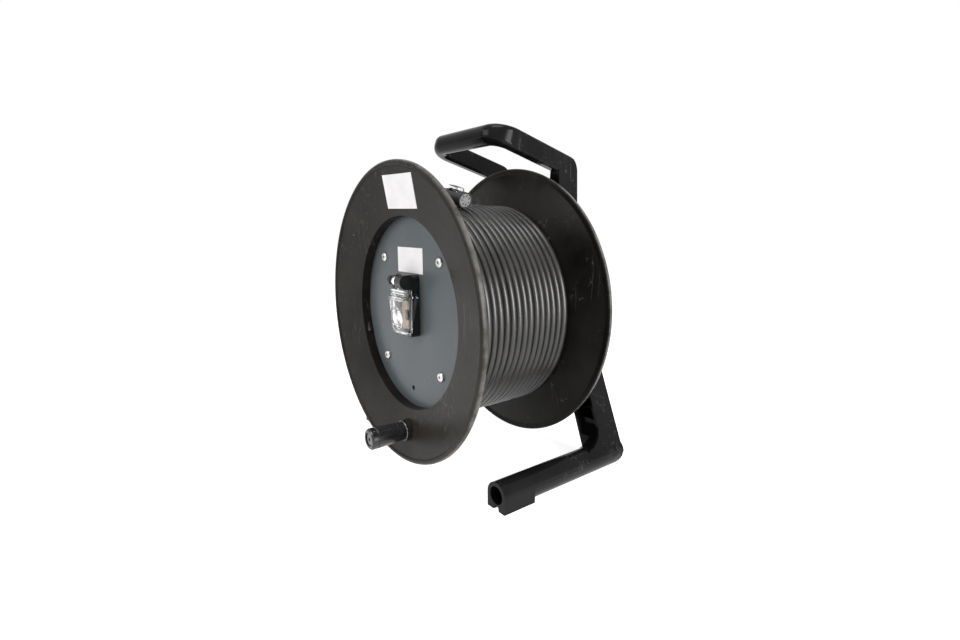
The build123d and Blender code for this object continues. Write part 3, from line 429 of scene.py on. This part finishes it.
# Free tail of the cable, from the winding to the plug: across and up from the axis, from part.py
TAIL_Y = -20
TAIL_ROUTE = (
    (-118.0, 66.0),
    (-103.0, 95.0),
    (-84.0, 127.0),
    (-57.0, 151.0),
    (-25.2, 160.6),
    (5.0, 153.4),
)
TAIL_SPAN_STEPS = 12
TAIL_ROUNDNESS = 4
tail_curve = bpy.data.curves.new("tail", "CURVE")
tail_curve.dimensions = "3D"
spline = tail_curve.splines.new("NURBS")
spline.points.add(len(TAIL_ROUTE) - 1)
for point, (x, z) in zip(spline.points, TAIL_ROUTE):
    point.co = (*from_axis(x, TAIL_Y, z), 1)
spline.order_u = 3
spline.use_endpoint_u = True
spline.resolution_u = TAIL_SPAN_STEPS
tail_curve.bevel_depth = CABLE_R
tail_curve.bevel_resolution = TAIL_ROUNDNESS
tail_curve.use_fill_caps = True
tail_curve.materials.append(JACKET)
tail = bpy.data.objects.new("cable_tail_curve", tail_curve)
bpy.context.scene.collection.objects.link(tail)
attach(tail, "drum")
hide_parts("cable_tail")

# Blank stickers on the dished flange and the flat plate, in millimetres from the drum's centre
RECESS_R = 124.3
RECESS_FACE = 82.65
RIM_INNER_R = 182.0
FLANGE_DISH = 14.0
FLANGE_SLOPE = FLANGE_DISH / (RIM_INNER_R - RECESS_R)
PLATE_FACE = 70.05
LABEL_THICK = 0.25
LABEL_LIFT = 0.02
LABEL_STEPS = 10
FLANGE_LABEL = ((-22.0, 173.2), (52.0, 171.4), (48.0, 131.4), (-26.0, 133.0))
PLATE_LABEL = ((-32.6, 84.6), (30.4, 84.6), (30.4, 52.4), (-32.6, 52.4))


def grid_shell(outer, inner):
    """Closed shell between two grids of points: faces of both, and a strip round the edge."""
    count, width = len(outer), len(outer[0])
    verts = [point for grid in (outer, inner) for row in grid for point in row]
    shift = count * width
    faces = []
    for row in range(count - 1):
        for column in range(width - 1):
            a = row * width + column
            faces.append((a, a + 1, a + width + 1, a + width))
            faces.append(tuple(corner + shift for corner in (a, a + width, a + width + 1, a + 1)))
    border = list(range(width))
    border += [row * width + width - 1 for row in range(1, count)]
    border += [(count - 1) * width + column for column in range(width - 2, -1, -1)]
    border += [row * width for row in range(count - 2, 0, -1)]
    for here, following in zip(border, border[1:] + border[:1]):
        faces.append((following, here, here + shift, following + shift))
    return verts, faces


def sticker(name, corners, face, slope):
    """Thin sheet between four corners, on a face that rises by the slope away from the axis."""
    top_left, top_right, low_right, low_left = [Vector(corner) for corner in corners]
    grids = []
    for stand_off in (LABEL_THICK, LABEL_LIFT):
        grid = []
        for row in range(LABEL_STEPS + 1):
            down = row / LABEL_STEPS
            left = top_left.lerp(low_left, down)
            right = top_right.lerp(low_right, down)
            line = []
            for column in range(LABEL_STEPS + 1):
                x, z = left.lerp(right, column / LABEL_STEPS)
                out = face + slope * (math.hypot(x, z) - RECESS_R)
                line.append(from_axis(x, -out - stand_off, z))
            grid.append(line)
        grids.append(grid)
    return mesh_piece(name, *grid_shell(*grids), PAPER, "drum", "plug_face_plastic", smooth=False)


sticker("flange_sticker", FLANGE_LABEL, RECESS_FACE, FLANGE_SLOPE)
sticker("plate_sticker", PLATE_LABEL, PLATE_FACE, 0.0)

# Clear socket cover, in millimetres: a rippled, tapered lid with its hinge leaf and barrel
HOUSING_LOW, HOUSING_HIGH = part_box("socket_housing")
LID_CENTRE_X = (HOUSING_LOW.x + HOUSING_HIGH.x) / 2 / MM
SKIRT_WALL = 1.2
SKIRT_GAP = 0.5
SKIRT_DEPTH = 10.0
SKIRT_FRONT = 2.5
SKIRT_BACK = 0.3
SKIRT_ROWS = 24
LID_FLARE = 0.8
LID_LOW_HALF = (HOUSING_HIGH.x - HOUSING_LOW.x) / 2 / MM + SKIRT_GAP + SKIRT_WALL
LID_HALF = LID_LOW_HALF + LID_FLARE
LID_LOW = -25.0
LID_TOP = 33.4
LID_BACK = 83.0
LID_DEPTH = 12.0
LID_LOW_DEPTH = 8.5
NECK_DEPTH = 8.5
NECK_FROM = 22.0
NECK_BLEND = 4.0
NECK_FADE = 3.0
LID_WALL = 1.8
LID_EDGE = 7.0
LID_FOOT_SHARE = 0.72
LID_POWER = 5.0
LID_ROWS = 110
LID_COLUMNS = 120
RING_CENTRE = (-1.5, -4.0)
RING_REACH = 16.0
RING_FADE = 2.0
RIPPLE_PITCH = 3.8
RIPPLE_HEIGHT = 0.8
BARREL_HEIGHT = 43.0
BARREL_OUT = 89.05
BARREL_R = 5.9
BARREL_BORE = 1.8
BARREL_LEFT = -12.6
BARREL_RIGHT = 5.7
LEAF_FRONT = 7.0
LEAF_BACK = 1.5
LEAF_BELOW_TOP = 1.0
LEAF_BELOW_BARREL = 4.5
TURNED_STEPS = 48


def smooth_step(value):
    """Soft rise from 0 to 1."""
    value = min(1.0, max(0.0, value))
    return value * value * (3 - 2 * value)


def ripple(x, z):
    """Moulded waves: rings on the lid and level bands on its neck."""
    ring = math.hypot(x - RING_CENTRE[0], z - RING_CENTRE[1])
    if z < NECK_FROM - NECK_BLEND:
        share = smooth_step((RING_REACH - ring) / RING_FADE)
        wave = share * math.cos(2 * math.pi * ring / RIPPLE_PITCH)
    else:
        share = smooth_step((z - NECK_FROM + NECK_BLEND) / NECK_FADE)
        wave = share * math.cos(2 * math.pi * z / RIPPLE_PITCH)
    return RIPPLE_HEIGHT * wave


def lid_share(z):
    """0 at the lid's foot and 1 at its shoulder."""
    return smooth_step((z - LID_LOW) / (NECK_FROM - LID_LOW))


def lid_half(z):
    """Half the lid's width at a height."""
    return LID_LOW_HALF + (LID_HALF - LID_LOW_HALF) * lid_share(z)


def lid_grid(inset, waves):
    """Face of the lid, moved inwards by the inset, with its waves or without."""
    grid = []
    for row in range(LID_ROWS + 1):
        z = LID_LOW + inset + (LID_TOP - LID_LOW - inset) * row / LID_ROWS
        to_full = 1 - min(1.0, (z - LID_LOW - inset) / LID_EDGE)
        bottom = max(0.0, 1 - to_full**LID_POWER) ** (1 / LID_POWER)
        half = lid_half(z) - inset
        half *= LID_FOOT_SHARE + (1 - LID_FOOT_SHARE) * math.sqrt(max(0.0, 1 - to_full**2))
        depth = LID_LOW_DEPTH + (LID_DEPTH - LID_LOW_DEPTH) * lid_share(z)
        depth += (NECK_DEPTH - LID_DEPTH) * smooth_step((z - NECK_FROM) / NECK_BLEND) - inset
        line = []
        for column in range(LID_COLUMNS + 1):
            across = math.sin(math.pi * (column / LID_COLUMNS - 0.5))
            side = max(0.0, 1 - abs(across) ** LID_POWER) ** (1 / LID_POWER)
            x = LID_CENTRE_X + half * across
            out = (depth + waves * ripple(x - LID_CENTRE_X, z)) * side * bottom
            line.append(from_axis(x, -LID_BACK - max(0.0, out), z))
        grid.append(line)
    return grid


def add_skirt(verts, faces, side):
    """Side wall of the lid that laps over the housing, deepest at the lid's shoulder."""
    start = len(verts)
    z_from = LID_LOW + LID_EDGE
    for row in range(SKIRT_ROWS + 1):
        z = z_from + (LID_TOP - z_from) * row / SKIRT_ROWS
        lap = min((z - z_from) / (NECK_FROM - z_from), (LID_TOP - z) / (LID_TOP - NECK_FROM))
        outer = LID_CENTRE_X + side * lid_half(z)
        inner = outer - side * SKIRT_WALL
        front = -LID_BACK - SKIRT_FRONT
        back = -LID_BACK + SKIRT_BACK + SKIRT_DEPTH * lap
        corners = ((outer, front), (outer, back), (inner, back), (inner, front))
        verts.extend(from_axis(x, y, z) for x, y in corners)
    for row in range(SKIRT_ROWS):
        for corner in range(4):
            a, b = start + row * 4 + corner, start + row * 4 + (corner + 1) % 4
            faces.append((a, b, b + 4, a + 4))
    last = start + SKIRT_ROWS * 4
    faces.append((start + 3, start + 2, start + 1, start))
    faces.append((last, last + 1, last + 2, last + 3))


BOX_QUADS = ((0, 1, 3, 2), (4, 6, 7, 5), (0, 4, 5, 1), (2, 3, 7, 6), (0, 2, 6, 4), (1, 5, 7, 3))


def add_box(verts, faces, low, high):
    """Plain box between two corners."""
    start = len(verts)
    verts.extend(from_axis(*corner) for corner in itertools.product(*zip(low, high)))
    for quad in BOX_QUADS:
        faces.append(tuple(start + corner for corner in quad))


def add_ring(verts, faces, profile, centre, along, across, up):
    """Closed ring: a profile of (distance along, radius) points turned about a line."""
    start = len(verts)
    for step in range(TURNED_STEPS):
        angle = 2 * math.pi * step / TURNED_STEPS
        out = math.cos(angle) * across + math.sin(angle) * up
        verts.extend(centre + along * at * MM + out * radius * MM for at, radius in profile)
    size = len(profile)
    for step in range(TURNED_STEPS):
        here = start + step * size
        there = start + (step + 1) % TURNED_STEPS * size
        for point in range(size):
            beyond = (point + 1) % size
            faces.append((here + point, here + beyond, there + beyond, there + point))


X_AXIS, Y_AXIS, Z_AXIS = Vector((1, 0, 0)), Vector((0, 1, 0)), Vector((0, 0, 1))
cover_verts, cover_faces = grid_shell(lid_grid(0.0, 1.0), lid_grid(LID_WALL, 0.0))
for side in (-1, 1):
    add_skirt(cover_verts, cover_faces, side)
BARREL_PROFILE = (
    (BARREL_LEFT, BARREL_BORE),
    (BARREL_LEFT, BARREL_R),
    (BARREL_RIGHT, BARREL_R),
    (BARREL_RIGHT, BARREL_BORE),
)
barrel_centre = from_axis(0, -BARREL_OUT, BARREL_HEIGHT)
add_ring(cover_verts, cover_faces, BARREL_PROFILE, barrel_centre, X_AXIS, Y_AXIS, Z_AXIS)
add_box(
    cover_verts,
    cover_faces,
    (BARREL_LEFT, -LID_BACK - LEAF_FRONT, LID_TOP - LEAF_BELOW_TOP),
    (BARREL_RIGHT, -LID_BACK - LEAF_BACK, BARREL_HEIGHT - LEAF_BELOW_BARREL),
)
cover = mesh_piece("clear_cover", cover_verts, cover_faces, CLEAR, "cover", "clear_plastic")
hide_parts("socket_cover")

# Steel collar round the foot of the crank grip, in steel darkened as painted shade: distance along
# and radius, in millimetres
GRIP_LOW, GRIP_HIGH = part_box("crank_grip")
COLLAR_PROFILE = (
    (0.0, 11.8),
    (-2.6, 11.8),
    (-2.6, 12.6),
    (-2.0, 13.2),
    (0.35, 13.2),
    (0.35, 11.8),
)
collar_centre = (GRIP_LOW + GRIP_HIGH) / 2
collar_centre.y = GRIP_HIGH.y
collar_verts, collar_faces = [], []
add_ring(collar_verts, collar_faces, COLLAR_PROFILE, collar_centre, Y_AXIS, X_AXIS, Z_AXIS)
mesh_piece("crank_collar", collar_verts, collar_faces, STEEL_PAINTED_SHADE, "drum", "steel")

# Camera, fitted to the flange rims in the photograph: its place is in flange radii
FLANGE_R = 190
CAMERA_RADII = (3.0216, -2.0696, 0.6019)
CAMERA_FORWARD = Vector((-0.7836, 0.5929, -0.1857))
IMAGE_WIDTH = 960
FOCAL_PIXELS = 510.09
SENSOR = 36.0
camera_data = bpy.data.cameras.new("camera")
camera_data.sensor_width = SENSOR
camera_data.lens = FOCAL_PIXELS / IMAGE_WIDTH * SENSOR
camera = bpy.data.objects.new("camera", camera_data)
camera.location = from_axis(*(radii * FLANGE_R for radii in CAMERA_RADII))
camera.rotation_mode = "QUATERNION"
camera.rotation_quaternion = CAMERA_FORWARD.to_track_quat("-Z", "Y")
bpy.context.scene.collection.objects.link(camera)
bpy.context.scene.camera = camera

# Pale floor and white surroundings: rays that see them find them white, and only others are lit
BACKDROP_RAYS = ("Is Camera Ray", "Is Glossy Ray", "Is Transmission Ray")
FLOOR_HALF = 6.0
FLOOR_GREY = 0.8
FLOOR_ROUGH = 0.9
FLOOR_GLOW = 0.8
WORLD_LIGHT = 0.35
WHITE = (1, 1, 1, 1)


def backdrop_share(tree):
    """1 for rays that see the backdrop itself, 0 for those that light the object."""
    path = tree.nodes.new("ShaderNodeLightPath")
    share = path.outputs[BACKDROP_RAYS[0]]
    for name in BACKDROP_RAYS[1:]:
        larger = tree.nodes.new("ShaderNodeMath")
        larger.operation = "MAXIMUM"
        tree.links.new(share, larger.inputs[0])
        tree.links.new(path.outputs[name], larger.inputs[1])
        share = larger.outputs[0]
    return share


def stage_material():
    """Pale floor that looks white and takes a faint shadow of the object."""
    material = bpy.data.materials.new("stage")
    material.use_nodes = True
    tree = material.node_tree
    surface = tree.nodes["Principled BSDF"]
    surface.inputs["Base Color"].default_value = (*grey_tone(FLOOR_GREY), 1)
    surface.inputs["Roughness"].default_value = FLOOR_ROUGH
    surface.inputs["Specular IOR Level"].default_value = 0.0
    surface.inputs["Emission Color"].default_value = WHITE
    glow = tree.nodes.new("ShaderNodeMath")
    glow.operation = "MULTIPLY"
    glow.inputs[1].default_value = FLOOR_GLOW
    tree.links.new(backdrop_share(tree), glow.inputs[0])
    tree.links.new(glow.outputs[0], surface.inputs["Emission Strength"])
    return material


floor_mesh = bpy.data.meshes.new("floor")
floor_corners = [(x * FLOOR_HALF, y * FLOOR_HALF, 0) for x, y in ((-1, -1), (1, -1), (1, 1), (-1, 1))]
floor_mesh.from_pydata(floor_corners, [], [(0, 1, 2, 3)])
floor_mesh.materials.append(stage_material())
floor = bpy.data.objects.new("floor", floor_mesh)
bpy.context.scene.collection.objects.link(floor)

world = bpy.data.worlds.new("studio")
bpy.context.scene.world = world
world.use_nodes = True
background = world.node_tree.nodes["Background"]
background.inputs["Color"].default_value = WHITE
strength = world.node_tree.nodes.new("ShaderNodeMath")
strength.operation = "MULTIPLY_ADD"
strength.inputs[1].default_value = 1 - WORLD_LIGHT
strength.inputs[2].default_value = WORLD_LIGHT
world.node_tree.links.new(backdrop_share(world.node_tree), strength.inputs[0])
world.node_tree.links.new(strength.outputs[0], background.inputs["Strength"])

# Soft lamps: name, place, width and height in metres, and watts
LAMP_AIM = Vector((0, 0, 0.2))
LAMPS = (
    ("top", (0.2, -0.3, 1.6), (0.7, 0.7), 12),
    ("front", (-0.5, -1.9, 1.1), (0.9, 1.2), 21),
    ("right", (1.45, 0.15, 0.5), (0.8, 0.8), 34),
)
for name, at, size, power in LAMPS:
    data = bpy.data.lights.new(name, "AREA")
    data.shape = "RECTANGLE"
    data.size, data.size_y = size
    data.energy = power
    lamp = bpy.data.objects.new(name, data)
    lamp.location = at
    lamp.rotation_mode = "QUATERNION"
    lamp.rotation_quaternion = (LAMP_AIM - Vector(at)).to_track_quat("-Z", "Y")
    bpy.context.scene.collection.objects.link(lamp)

bpy.context.scene.view_settings.view_transform = "Standard"
